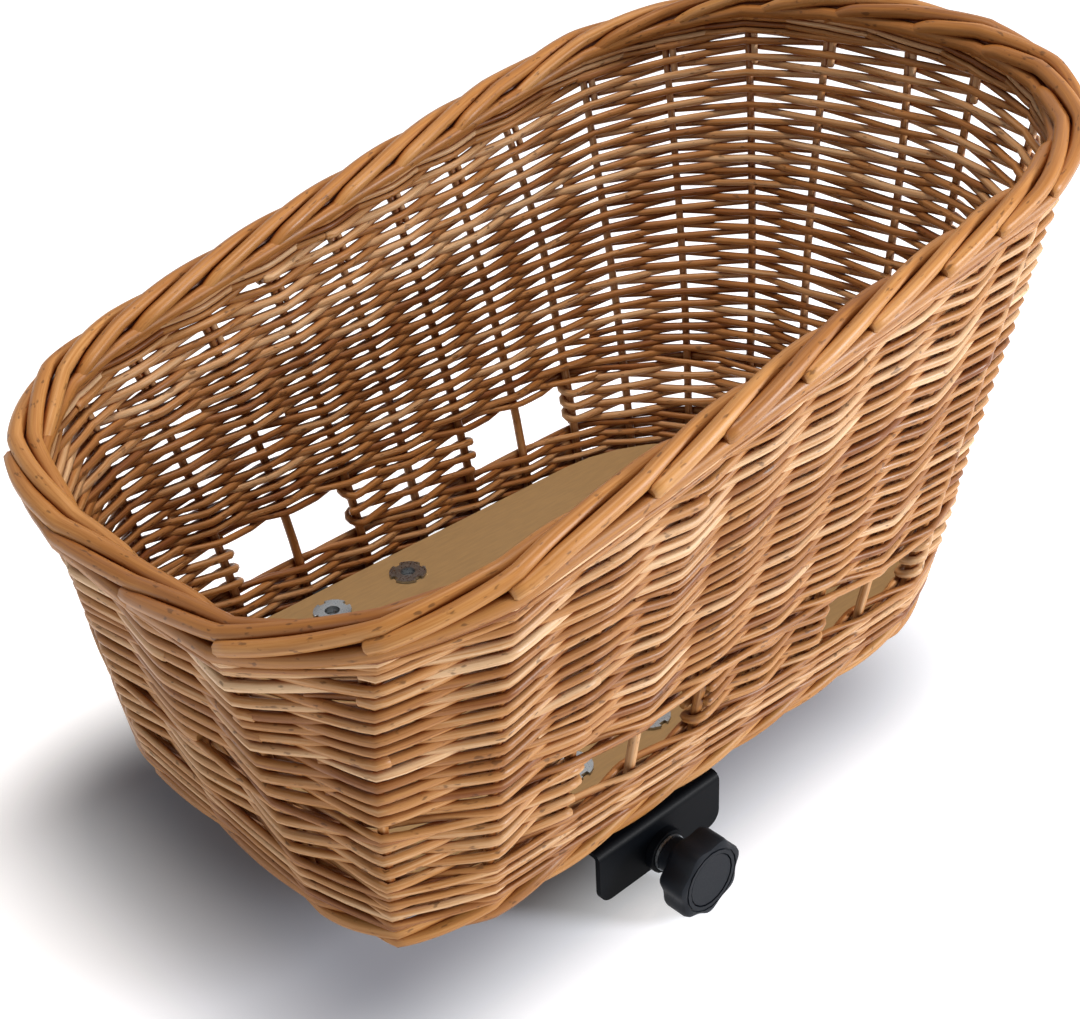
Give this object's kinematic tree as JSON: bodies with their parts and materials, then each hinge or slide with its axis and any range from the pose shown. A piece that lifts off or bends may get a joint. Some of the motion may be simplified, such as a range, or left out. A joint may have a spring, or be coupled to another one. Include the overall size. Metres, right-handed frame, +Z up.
{
  "type": "bicycle dog basket",
  "caption": "Woven willow bicycle basket for a small dog, low at the front and high at the back, with wall windows, a plywood floor and knob-tightened clamps for a carrier's rails.",
  "frame": {"origin": "below the middle of the basket, at the height of the lowest points of the clamp knobs", "axes": "+X towards the high back, +Y towards the left side, +Z up"},
  "size_m": [0.5267, 0.3602, 0.3592],
  "materials": {
    "willow": "peeled and buffed willow, lightly lacquered",
    "willow_border": "thicker buffed willow, golden brown, lightly lacquered",
    "plywood": "bare birch plywood, dull",
    "packing_wood": "bare sawn softwood",
    "black_steel": "black powder coat, satin",
    "zinc_steel": "bright zinc plate",
    "black_plastic": "fine-grained black moulded plastic",
    "black_rubber": "matt black rubber",
    "brass": "turned brass"
  },
  "bodies": {
    "basket": {"floor_board": "plywood", "woven_base": "willow", "lower_wall": "willow", "window_pier_front": "willow", "window_pier_left": "willow", "window_pier_right": "willow", "window_pier_back": "willow", "upper_wall": "willow", "window_stake_front_left": "willow", "window_stake_front_right": "willow", "window_stake_rear_left": "willow", "window_stake_rear_right": "willow", "foot_border": "willow_border", "rim_border": "willow_border", "tee_nut_front_right": "zinc_steel", "bracket_screw_front_right": "zinc_steel", "screw_washer_front_right": "zinc_steel", "tee_nut_rear_right": "zinc_steel", "bracket_screw_rear_right": "zinc_steel", "screw_washer_rear_right": "zinc_steel", "tee_nut_front_left": "zinc_steel", "bracket_screw_front_left": "zinc_steel", "screw_washer_front_left": "zinc_steel", "tee_nut_rear_left": "zinc_steel", "bracket_screw_rear_left": "zinc_steel", "screw_washer_rear_left": "zinc_steel", "clamp_bracket_right": "black_steel", "packing_block_right": "packing_wood", "bracket_boss_right": "black_steel", "knob_washer_right": "zinc_steel", "clamp_bracket_left": "black_steel", "packing_block_left": "packing_wood", "bracket_boss_left": "black_steel", "knob_washer_left": "zinc_steel"},
    "right_knob": {"knob_right": "black_plastic", "knob_cap_right": "black_plastic", "knob_insert_right": "brass"},
    "right_jaw": {"clamp_bolt_right": "zinc_steel", "clamp_plate_right": "black_steel", "clamp_pad_right": "black_rubber"},
    "left_knob": {"knob_left": "black_plastic", "knob_cap_left": "black_plastic", "knob_insert_left": "brass"},
    "left_jaw": {"clamp_bolt_left": "zinc_steel", "clamp_plate_left": "black_steel", "clamp_pad_left": "black_rubber"}
  },
  "joints": [
    {"name": "jaw_slide_right", "type": "slide", "parent": "basket", "child": "right_jaw", "axis": [0, -1, 0], "range_m": [0, 0.01]},
    {"name": "knob_turn_right", "type": "hinge", "parent": "basket", "child": "right_knob", "pos_m": [-0.0675, -0.15, 0.022], "axis": [0, 1, 0], "range_deg": [0, 2880]},
    {"name": "jaw_slide_left", "type": "slide", "parent": "basket", "child": "left_jaw", "axis": [0, 1, 0], "range_m": [0, 0.01]},
    {"name": "knob_turn_left", "type": "hinge", "parent": "basket", "child": "left_knob", "pos_m": [-0.0675, 0.15, 0.022], "axis": [0, -1, 0], "range_deg": [0, 2880]}
  ],
  "couplings": [
    {"joint": "knob_turn_right", "follows": "jaw_slide_right", "rad_per_m": 5026.5},
    {"joint": "knob_turn_left", "follows": "jaw_slide_left", "rad_per_m": 5026.5}
  ]
}
